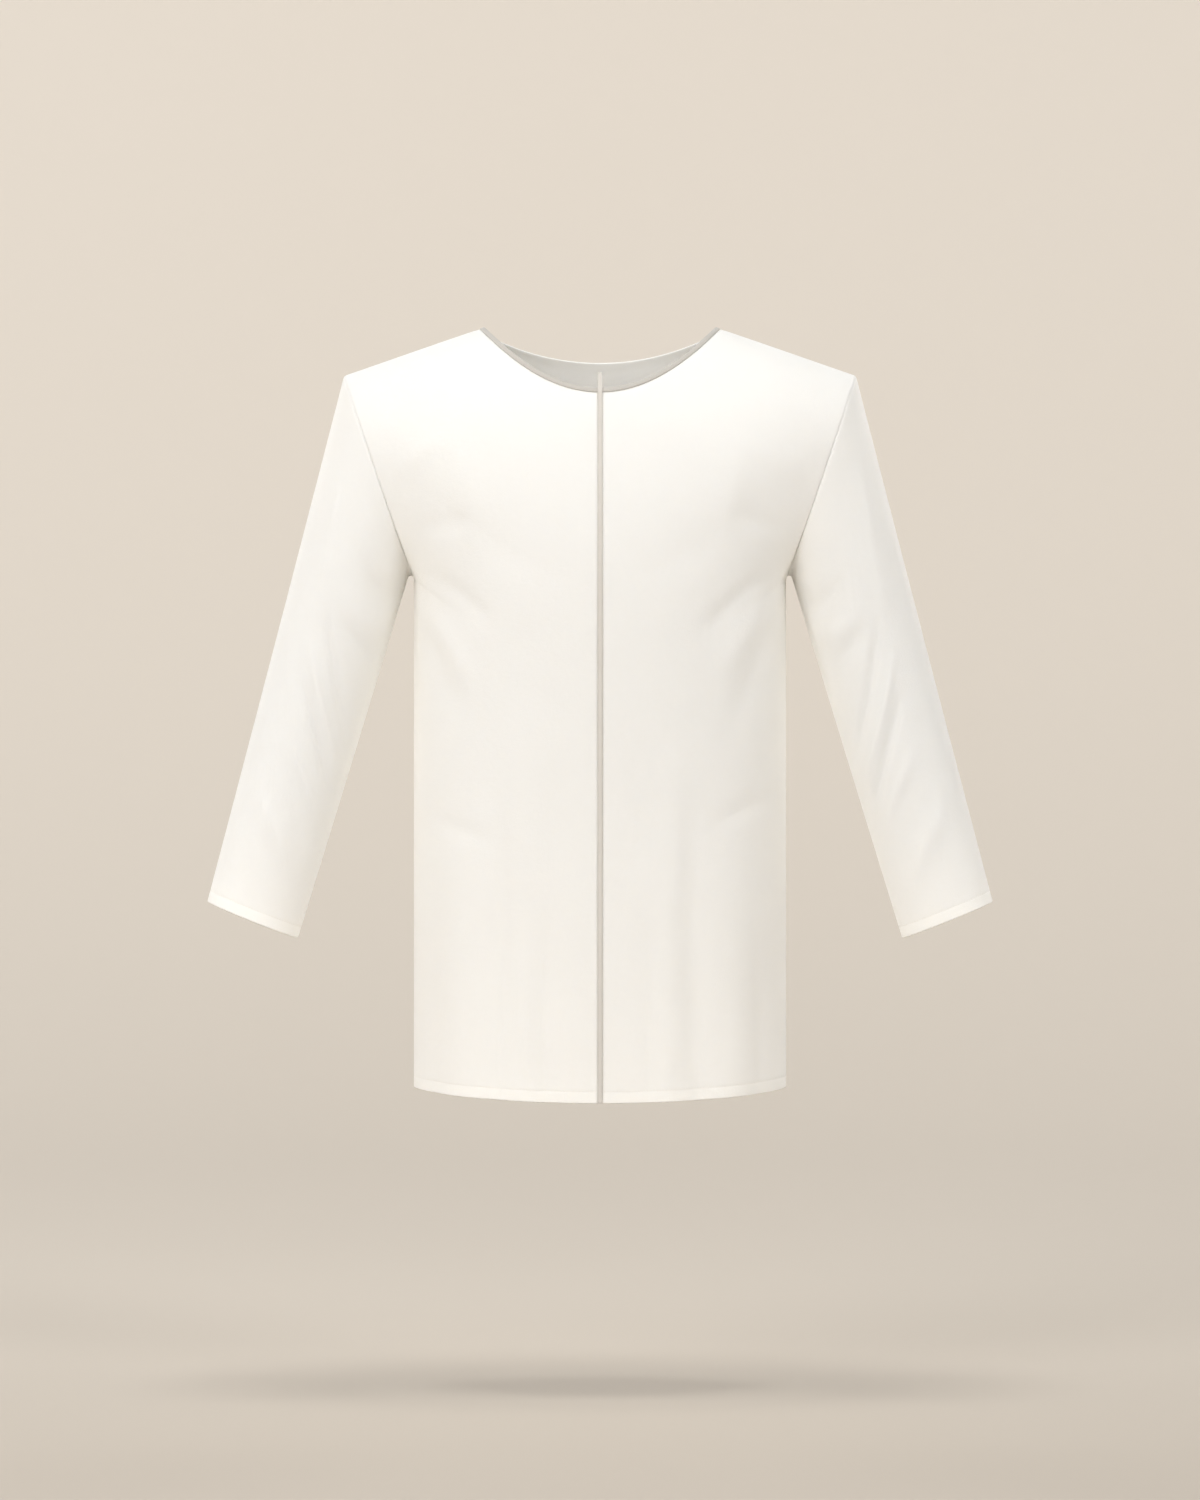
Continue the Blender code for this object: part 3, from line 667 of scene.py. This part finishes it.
# Creases: from q, v to q, v in metres: q round the sleeve from the underarm seam, below 0 on the front,
# v down from the armhole; then bow, half width, rise
SLEEVE_CREASES = (
    (-0.012, 0.018, -0.110, 0.090, 0.008, 0.0090, -0.0024),
    (-0.014, 0.044, -0.120, 0.140, 0.010, 0.0105, 0.0022),
    (-0.030, 0.110, -0.110, 0.160, -0.005, 0.0085, -0.0015),
    (-0.014, 0.196, -0.135, 0.160, 0.006, 0.0085, -0.0024),
    (-0.012, 0.222, -0.140, 0.204, 0.007, 0.0095, 0.0024),
    (-0.014, 0.250, -0.125, 0.246, -0.004, 0.0080, -0.0024),
    (-0.030, 0.276, -0.105, 0.300, -0.005, 0.0090, 0.0018),
    (-0.040, 0.340, -0.110, 0.390, -0.004, 0.0110, 0.0017),
    (-0.030, 0.400, -0.085, 0.450, 0.004, 0.0090, -0.0013),
    (-0.190, 0.040, -0.130, 0.200, 0.008, 0.0130, 0.0016),
    (0.012, 0.022, 0.100, 0.092, -0.006, 0.0090, -0.0022),
    (0.014, 0.050, 0.114, 0.138, -0.008, 0.0100, 0.0019),
    (0.040, 0.190, 0.160, 0.214, 0.006, 0.0105, 0.0020),
    (0.030, 0.222, 0.150, 0.246, 0.004, 0.0085, -0.0022),
    (0.024, 0.256, 0.130, 0.282, -0.005, 0.0095, 0.0017),
    (0.030, 0.340, 0.105, 0.384, -0.004, 0.0110, -0.0015),
    (0.190, 0.050, 0.140, 0.190, -0.007, 0.0130, 0.0014),
)


def sleeve_lattices(hand):
    """Outer and inner rings of a sleeve from armhole to cuff, starting at the underarm seam."""
    turn = np.concatenate([TURNS, TURNS[-2:0:-1]])
    side = np.concatenate([-np.ones(len(TURNS)), np.ones(len(TURNS) - 2)])
    end = np.full(len(turn), 2.0)
    last = sleeve_form(turn, side, end - HEM_STRETCH) - sleeve_form(turn, side, end)
    cuff = end - CUFF_ROWS[:, None] * HEM_STRETCH / np.linalg.norm(last, axis=-1)
    arch = np.repeat(np.linspace(0, 1, ARCH_ROWS + 1)[:-1, None], len(turn), axis=1)
    run = 1 + (cuff[0] - 1) * (np.arange(RUN_ROWS) / RUN_ROWS)[:, None]
    w = np.concatenate([arch, run, cuff])
    turn, side = np.broadcast_to(turn, w.shape), np.broadcast_to(side, w.shape)
    points = sleeve_form(turn, side, w)
    ring = np.roll(points, -1, axis=1) - np.roll(points, 1, axis=1)
    down = sleeve_form(turn, side, w + SLOPE_STEP) - sleeve_form(turn, side, w - SLOPE_STEP)
    out = unit(np.cross(ring, down))
    if np.sum(out[-1] * (points[-1] - points[-1].mean(axis=0))) < 0:
        out = -out
    from_armhole = distance_in(points[::-1], 0)[::-1]
    to_cuff = distance_in(points, 0)
    half = np.pad(np.cumsum(np.linalg.norm(np.diff(points, axis=1), axis=-1), axis=1), ((0, 0), (1, 0)))
    whole = half[:, -1] + np.linalg.norm(points[:, 0] - points[:, -1], axis=-1)
    round_it = np.where(side < 0, -half, whole[:, None] - half)
    calm = smooth(from_armhole / ARMHOLE_CALM) * smooth(to_cuff / CUFF_CALM)
    calm = calm * smooth(np.sin(turn) / EDGE_CALM)
    shift = RIGHT_CREASE_SHIFT if hand < 0 else 0.0
    lift = creases(SLEEVE_CREASES, round_it, from_armhole + shift) * calm
    pucker = 1 + PUCKER * np.sin(turn * ARMHOLE_PUCKERS)
    dip = bell(from_armhole, SEAM_SPREAD) * pucker
    dip = np.maximum(dip, UNDERARM_SEAM_DIP * bell(round_it, SEAM_SPREAD))
    lift = lift - SEAM_DIP * dip - STITCH_DENT * bell(to_cuff - STITCH_LINE, STITCH_SPREAD)
    outer = points + out * lift[..., None]
    thick = CLOTH + turning(to_cuff, STITCH_LINE + TURNING_EDGE)
    inner = outer - out * thick[..., None]
    front, rear = armhole_mitre(FRONT), armhole_mitre(BACK)
    mitre = np.concatenate([front, rear[-2:0:-1]])
    outer[0] = points[0] - mitre * (SEAM_DIP * dip[0][:, None])
    inner[0] = outer[0] - mitre * thick[0][:, None]
    free = np.zeros(w.shape)
    free[-1] = FOLDED_EDGE_BULGE
    for lattice in (outer, inner):
        lattice[0] += SEAM_HALF_GAP * unit(points[1] - points[0])
        lattice[..., 0] *= hand
    around = np.concatenate([half, whole[:, None]], axis=1)
    down_in = np.concatenate([from_armhole, from_armhole[:, :1]], axis=1)
    return outer, inner, free, np.stack([around, -down_in], axis=-1)


cuff_paths = {}
for name, hand in (("sleeve_left", 1.0), ("sleeve_right", -1.0)):
    outer, inner, free, flat = sleeve_lattices(hand)
    piece = shell(name + "_cloth", outer, inner, free, flat, CREPE)
    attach(piece, "root")
    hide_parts(name)
    row = len(outer) - 1 - STITCH_ROW
    path = np.concatenate([outer[row], outer[row, :1]])
    cuff_paths[name] = (path, unit(path - np.concatenate([inner[row], inner[row, :1]])))


# The hem and cuff stitching: one row of ivory thread in the front, back and each cuff. Each stitch is a
# short twisted thread, half sunk in the cloth.
STITCH_PITCH = 0.0029
STITCH_LENGTH = 0.0021
THREAD_RADIUS = 0.00019
THREAD_SINK = 0.3
STITCH_AIM = 0.0004
STITCH_RINGS = 6
STITCH_SIDES = 6
STITCH_END = np.array([[0, 1, 2, 3], [0, 3, 4, 5]])


def twisted(dark, light, roughness):
    """The rule of a thread: a fine twist that varies its colour, its gloss and its height."""

    def rule(pattern, place):
        strand = place.node("ShaderNodeTexNoise", Vector=place, Scale=2400.0, Detail=1.0)
        return strand.blend(dark, light), roughness + strand * 0.1, strand * 0.00002

    return rule


def along_path(path, run, places):
    """Points or directions at distances along a path, in straight lines between its own."""
    return np.stack([np.interp(places, run, path[:, k]) for k in range(3)], axis=1)


def stitches(name, path, out, finish, slot):
    """A row of threads along a path, each a spindle whose radius is the root of 1 - x^2, x from -1 to 1."""
    run = np.concatenate([[0], np.cumsum(np.linalg.norm(np.diff(path, axis=0), axis=1))])
    places = np.arange(STITCH_PITCH / 2, run[-1] - STITCH_PITCH / 2, STITCH_PITCH)
    centre = along_path(path, run, places)
    forward = unit(along_path(path, run, places + STITCH_AIM) - centre)
    up = unit(along_path(out, run, places))
    sideways = unit(np.cross(forward, up))
    along = np.linspace(-1, 1, STITCH_RINGS)
    radius = THREAD_RADIUS * np.sqrt(np.clip(1.02 - along**2, 0.02, 1))
    turn = np.arange(STITCH_SIDES) * 2 * math.pi / STITCH_SIDES
    ahead = (along * STITCH_LENGTH / 2)[:, None] + 0 * turn
    across = radius[:, None] * np.cos(turn)
    above = radius[:, None] * np.sin(turn) + THREAD_SINK * THREAD_RADIUS
    points = centre[:, None, None] + (
        ahead[..., None] * forward[:, None, None]
        + across[..., None] * sideways[:, None, None]
        + above[..., None] * up[:, None, None]
    )
    count = STITCH_RINGS * STITCH_SIDES
    index = np.arange(count).reshape(STITCH_RINGS, STITCH_SIDES)
    round_it = quads_between(np.concatenate([index, index[:, :1]], axis=1))
    one = np.concatenate([round_it, index[0][STITCH_END], index[-1][STITCH_END]])
    faces = (one[None] + count * np.arange(len(places))[:, None, None]).reshape(-1, 4)
    flat = np.stack([points[..., 0].ravel(), points[..., 2].ravel()], axis=1)
    piece = make_mesh(name, points.reshape(-1, 3), faces, flat, faces, finish)
    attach(piece, "root")
    return piece


THREAD = cloth_material(
    "ivory_thread",
    {
        "constants": {"Sheen Weight": 0.1, "Specular IOR Level": 0.4},
        "rule": twisted((0.83, 0.79, 0.72, 1), (0.90, 0.87, 0.80, 1), 0.62),
    },
)
sewn = {name: stitches(name + "_hem_stitches", *way, THREAD, "cloth") for name, way in hem_paths.items()}
sewn |= {name: stitches(name + "_cuff_stitches", *way, THREAD, "cloth") for name, way in cuff_paths.items()}


# The neckband: a narrow strip of stone-grey cotton, folded double and sewn to the front neck edge from
# shoulder seam to shoulder seam.
BAND_WIDTH = 0.0048
BAND_HALF_THICKNESS = 0.0011
BAND_CLEARANCE = 0.0001
BAND_CORNER = 3.0
OUTLINE_POINTS = 20
HERRINGBONE = 0.0024
RIB_PITCH = 0.00085
RIB_HEIGHT = 0.00005
FIBRE_HEIGHT = 0.00009


def rounded_outline(half_width, half_height, power):
    """Points round a rectangle with soft corners: a superellipse of the given power."""
    turn = np.arange(OUTLINE_POINTS) * 2 * math.pi / OUTLINE_POINTS
    cosine, sine = np.cos(turn), np.sin(turn)
    across = half_width * np.sign(cosine) * np.abs(cosine) ** (2 / power)
    return across, half_height * np.sign(sine) * np.abs(sine) ** (2 / power)


def swept(name, rings, finish):
    """A closed strip through rings of like points, its ends capped, with its length and girth as flat map."""
    count, around = rings.shape[:2]
    index = np.arange(count * around).reshape(count, around)
    wrapped = np.concatenate([index, index[:, :1]], axis=1)
    long_way = np.concatenate([[0], np.cumsum(np.linalg.norm(np.diff(rings.mean(axis=1), axis=0), axis=1))])
    girth = np.linalg.norm(np.roll(rings, -1, axis=1) - rings, axis=-1).mean(axis=0)
    girth = np.concatenate([[0], np.cumsum(girth)])
    flat = np.stack(np.broadcast_arrays(girth[None], long_way[:, None]), axis=-1)
    flat_index = np.arange(flat.shape[0] * flat.shape[1]).reshape(flat.shape[:2])
    half = around // 2
    across = np.stack([np.arange(half), np.arange(around - 1, half - 1, -1)], axis=0)
    caps = np.concatenate([quads_between(index[row][across]) for row in (0, -1)])
    faces = np.concatenate([quads_between(wrapped), caps])
    flat_caps = np.concatenate([quads_between(flat_index[row][across]) for row in (0, -1)])
    flat_faces = np.concatenate([quads_between(flat_index), flat_caps])
    piece = make_mesh(name, rings.reshape(-1, 3), faces, flat.reshape(-1, 2), flat_faces, finish)
    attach(piece, "root")
    return piece


def ribbed(dark, light):
    """The rule of a woven strip: fine ribs across it, shifted as a herringbone, and a faint heather."""

    def rule(pattern, place):
        across = pattern.node("ShaderNodeSeparateXYZ", Vector=pattern)
        along = Socket(across.tree, across.socket.node.outputs[1])
        slant = (across * (2 * math.pi / HERRINGBONE)).sine().size() * 1.4
        rib = (along * (2 * math.pi / RIB_PITCH) + slant * math.pi).sine()
        fibre = place.node("ShaderNodeTexNoise", Vector=place, Scale=1300.0, Detail=3.0)
        heather = place.node("ShaderNodeTexNoise", Vector=place, Scale=60.0, Detail=2.0)
        tone = fibre * 0.45 + heather * 0.4 + rib * 0.08
        return tone.blend(dark, light), 0.78 + fibre * 0.12, rib * RIB_HEIGHT + fibre * FIBRE_HEIGHT

    return rule


MATT = {"Sheen Weight": 0.15, "Sheen Roughness": 0.5, "Specular IOR Level": 0.25}
# The band's grey is the tape's stone grey darkened: painted shade that keeps the band apart from the shaded
# inside of the back.
SHADED_BAND_CLOTH = cloth_material(
    "stone_band", {"constants": MATT, "rule": ribbed((0.485, 0.463, 0.430, 1), (0.585, 0.564, 0.527, 1))}
)
neck = COLUMNS <= NECK_SHARE + 1e-9
points, out, _ = half_panel(FRONT)
edge, edge_out = points[-1, neck], out[-1, neck]
tangent = np.gradient(edge, axis=0)
tangent[0] = (1, 0, 0)
tangent[-1] = (0, 1, 0)
over = unit(np.cross(edge_out, tangent))
across, through = rounded_outline(BAND_WIDTH / 2, BAND_HALF_THICKNESS, BAND_CORNER)
centre = edge + over * (BAND_WIDTH / 2 + BAND_CLEARANCE) - edge_out * (CLOTH / 2)
rings = centre[:, None] + over[:, None] * across[:, None] + edge_out[:, None] * through[:, None]
rings = np.concatenate([rings[:0:-1] * (-1, 1, 1), rings])
neckband = swept("neckband_strip", rings, SHADED_BAND_CLOTH)
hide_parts("neckband")


# The front tape: a flat woven tape sewn over the centre-front join from the hem, across the neckband,
# to a free rounded end that stands above it.
TAPE_HALF_WIDTH = BAND_WIDTH / 2
TAPE_HALF_THICKNESS = 0.00048
TAPE_CORNER = 3.4
TAPE_STUB = 0.0180
STUB_ROWS = 8
TIP_HEIGHT = 0.995
TIP_WIDTH = 0.12

# Lift off the cloth, more of it where the tape climbs over the neckband, and less again at the free end
TAPE_LIFT = 0.0002
BAND_CLIMB = 0.00055
CLIMB_LENGTH = 0.004
END_DROP = 0.0002
END_DROP_LENGTH = 0.012

TAPE = cloth_material(
    "stone_tape", {"constants": MATT, "rule": ribbed((0.585, 0.559, 0.520, 1), (0.697, 0.673, 0.632, 1))}
)
spine, spine_out = points[:, 0], out[:, 0]
up = unit(spine[-1] - spine[-2])
stub = spine[-1] + up * (TAPE_STUB * np.linspace(0, 1, STUB_ROWS + 1)[1:, None])
turn = np.linspace(0, math.pi / 2, STUB_ROWS)[1:-1]
rise = np.append(np.sin(turn), TIP_HEIGHT)
spine = np.concatenate([spine, stub, stub[-1] + up * TAPE_HALF_WIDTH * rise[:, None]])
spine_out = np.concatenate([spine_out, np.repeat(spine_out[-1:], len(spine) - len(spine_out), axis=0)])
narrowing = np.concatenate([np.ones(len(spine) - len(rise)), np.cos(turn), [TIP_WIDTH]])
run = np.concatenate([[0], np.cumsum(np.linalg.norm(np.diff(spine, axis=0), axis=1))])
past_edge = run - run[len(points) - 1]
lift = TAPE_LIFT + BAND_CLIMB * smooth(past_edge / CLIMB_LENGTH + 1)
lift = lift - END_DROP * smooth(past_edge / END_DROP_LENGTH)
across, through = rounded_outline(TAPE_HALF_WIDTH, TAPE_HALF_THICKNESS, TAPE_CORNER)
rings = spine[:, None] + spine_out[:, None] * (through[:, None] + (lift + TAPE_HALF_THICKNESS)[:, None, None])
rings = rings + (narrowing[:, None] * across)[..., None] * np.array([1.0, 0, 0])
front_tape = swept("front_tape_strip", rings, TAPE)
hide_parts("front_tape")


# The edge stitching of tape and neckband: a grey thread near each edge of the tape, through both tape and
# fronts, and one along the seam of the neckband.
TAPE_STITCH_OFFSET = 0.0016
TAPE_STITCH_HEIGHT = 1.9 * TAPE_HALF_THICKNESS
TAPE_STITCH_END = 0.0045
BAND_STITCH_OFFSET = 0.0011
BAND_STITCH_HEIGHT = 0.00042

GREY_THREAD = cloth_material(
    "grey_thread",
    {
        "constants": {"Sheen Weight": 0.1, "Specular IOR Level": 0.35},
        "rule": twisted((0.54, 0.52, 0.48, 1), (0.62, 0.60, 0.56, 1), 0.7),
    },
)
held = past_edge < TAPE_STITCH_END
tape_face = (spine + spine_out * (lift + TAPE_STITCH_HEIGHT)[:, None])[held]
band_face = (edge + over * BAND_STITCH_OFFSET + edge_out * BAND_STITCH_HEIGHT)[1:]
for name, hand in (("left", 1.0), ("right", -1.0)):
    mirror = (hand, 1, 1)
    way = tape_face + (hand * TAPE_STITCH_OFFSET, 0, 0), spine_out[held]
    sewn["tape_" + name] = stitches("front_tape_stitches_" + name, *way, GREY_THREAD, "tape")
    way = band_face * mirror, edge_out[1:] * mirror
    sewn["band_" + name] = stitches("neckband_stitches_" + name, *way, GREY_THREAD, "tape")


# The studio: a pale beige floor that rises into a seamless round wall. A soft key from the upper left and a
# weaker fill from the right light the front, two rear lights the back, and a soft light from above lays the
# shadow under the blouse. The sky lights the rest, brightest at and below the horizon.
FLOOR = -1.005
FORWARD = 2.0
FLOOR_RADIUS = 5.2
WALL_BEND = 6.4
WALL_RISE = math.radians(62)
WALL_ROWS = 24
WALL_COLUMNS = 96
DARK_BEIGE = (0.460, 0.411, 0.354, 1)
LIGHT_BEIGE = (0.80, 0.736, 0.656, 1)
KEY_TINT = (1.0, 0.99, 0.98)
SUN_TINT = (1.0, 0.985, 0.94)
SKY_TINT = (0.98, 0.985, 1.0, 1)
SKY_STRENGTH = 1.58
EYE = np.array([0.0, -5.5, -0.399])
FIELD_HEIGHT = 1.425
SENSOR = 36.0


def bowl(name, finish):
    """Floor disc and a round bend up from it: run and rise by sin and 1 - cos, turned round the vertical."""
    flat_part = np.linspace(0, FLOOR_RADIUS, WALL_ROWS)[1:]
    turn = np.linspace(0, WALL_RISE, WALL_ROWS + 1)[1:]
    r = np.concatenate([flat_part, FLOOR_RADIUS + WALL_BEND * np.sin(turn)])[:, None]
    z = np.concatenate([0 * flat_part, WALL_BEND * (1 - np.cos(turn))])[:, None] + FLOOR
    around = np.linspace(0, 2 * math.pi, WALL_COLUMNS + 1)[:-1]
    grid = np.stack([r * np.cos(around), r * np.sin(around) - FORWARD, z + 0 * around], axis=-1)
    index = np.arange(len(r) * len(around)).reshape(len(r), len(around))
    index = np.concatenate([index, index[:, :1]], axis=1)
    mesh = bpy.data.meshes.new(name)
    faces = quads_between(index)[:, ::-1].tolist() + [index[0, :-1].tolist()]
    mesh.from_pydata(grid.reshape(-1, 3).tolist(), [], faces)
    mesh.shade_smooth()
    mesh.materials.append(finish)
    made = bpy.data.objects.new(name, mesh)
    bpy.context.scene.collection.objects.link(made)
    return made


def beige_backdrop():
    """Matt beige painted lighter and darker along the depth: painted light far away up the wall and behind
    the camera, painted shade near the camera and under the blouse, where it deepens the floor shadow.
    """
    material = bpy.data.materials.new("beige_backdrop")
    material.use_nodes = True
    tree = material.node_tree
    shader = tree.nodes["Principled BSDF"]
    place = Socket(tree, tree.nodes.new("ShaderNodeTexCoord").outputs["Object"])
    parts = place.node("ShaderNodeSeparateXYZ", Vector=place)
    depth = Socket(tree, parts.socket.node.outputs[1])
    ease = {"interpolation_type": "SMOOTHSTEP"}
    far = depth.node("ShaderNodeMapRange", ease, Value=depth, From_Min=3.0, From_Max=8.0)
    near = depth.node("ShaderNodeMapRange", ease, Value=depth, From_Min=1.2, From_Max=-0.9)
    rear = depth.node("ShaderNodeMapRange", ease, Value=depth, From_Min=-3.0, From_Max=-7.0)
    # shade mixes the painted light of the far wall and behind the camera with the painted shade of the near
    # floor under the blouse
    shade = 0.610 + far * 0.10 - near * 0.385 + rear * 0.34
    place.feed(shader.inputs["Base Color"], shade.blend(DARK_BEIGE, LIGHT_BEIGE))
    shader.inputs["Roughness"].default_value = 0.95
    shader.inputs["Specular IOR Level"].default_value = 0.1
    return material


bowl("studio_floor", beige_backdrop())


def lamp(name, kind, place, aim, strength, spread, tint=KEY_TINT):
    """A soft light of a kind, set at a place and turned towards its aim.

    spread is a sun's angle in degrees, or else the light's width in metres.
    """
    light = bpy.data.lights.new(name, kind)
    light.energy = strength
    light.color = tint
    if kind == "SUN":
        light.angle = math.radians(spread)
    else:
        light.shape = "DISK"
        light.size = spread
    made = bpy.data.objects.new(name, light)
    made.visible_camera = False
    made.location = place
    made.rotation_euler = (Vector(aim) - Vector(place)).to_track_quat("-Z", "Y").to_euler()
    bpy.context.scene.collection.objects.link(made)


lamp("key", "AREA", (-3.2, -4.3, 1.40), aim=(0, 0, -0.35), strength=136.0, spread=3.2)
lamp("overhead", "SUN", (0, -0.2, 3.0), aim=(0, 0, 0), strength=1.16, spread=26, tint=SUN_TINT)
lamp("fill", "SUN", (3.0, -3.0, 1.5), aim=(0, 0, 0), strength=0.74, spread=20)
for name, x in (("rear_left", 2.3), ("rear_right", -2.3)):
    lamp(name, "SUN", (x, 3.8, 1.35), aim=(0, 0, 0), strength=0.72, spread=16)

world = bpy.data.worlds.new("studio_light")
world.use_nodes = True
sky = Socket(world.node_tree, world.node_tree.nodes.new("ShaderNodeTexCoord").outputs["Generated"])
parts = sky.node("ShaderNodeSeparateXYZ", Vector=sky)
upward = Socket(world.node_tree, parts.socket.node.outputs[2])
background = world.node_tree.nodes["Background"]
background.inputs["Color"].default_value = SKY_TINT
sky.feed(background.inputs["Strength"], SKY_STRENGTH * (1 - upward.maths("MAXIMUM", upward, 0.0)))
bpy.context.scene.world = world
bpy.context.scene.view_settings.view_transform = "Standard"

camera = bpy.data.objects.new("camera", bpy.data.cameras.new("camera"))
camera.location = EYE
camera.rotation_euler = (math.pi / 2, 0, 0)
camera.data.sensor_width = SENSOR
camera.data.lens = SENSOR * -EYE[1] / FIELD_HEIGHT
camera.data.clip_end = 60.0
bpy.context.scene.collection.objects.link(camera)
bpy.context.scene.camera = camera
